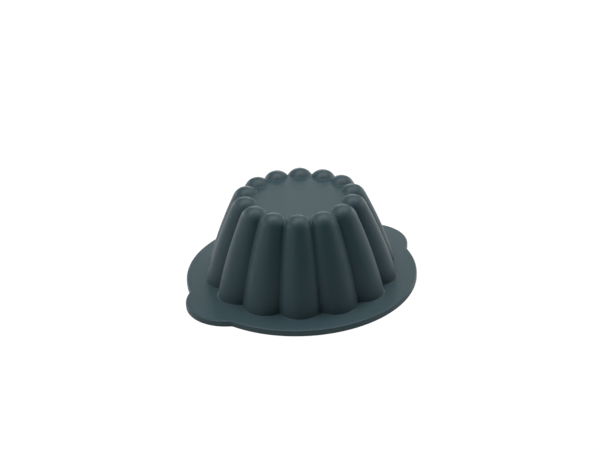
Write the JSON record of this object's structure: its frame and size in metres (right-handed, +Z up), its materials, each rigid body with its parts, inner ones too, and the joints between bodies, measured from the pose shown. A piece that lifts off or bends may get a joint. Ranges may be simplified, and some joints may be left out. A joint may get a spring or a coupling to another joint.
{
  "type": "charlotte mould",
  "caption": "Flexible round baking mould with fluted, round-headed sides, a flat crown and a wide flange with finger tabs.",
  "frame": {"origin": "middle of the flange's flat underside, on the mould's axis, with the mould standing crown up", "axes": "+Z up along the axis from the mouth to the crown, +X through one finger tab"},
  "size_m": [0.247, 0.22, 0.0872],
  "materials": {
    "silicone": "matte moulded silicone, dark green-grey"
  },
  "bodies": {
    "root": {"charlotte_mould": "silicone"}
  },
  "joints": []
}
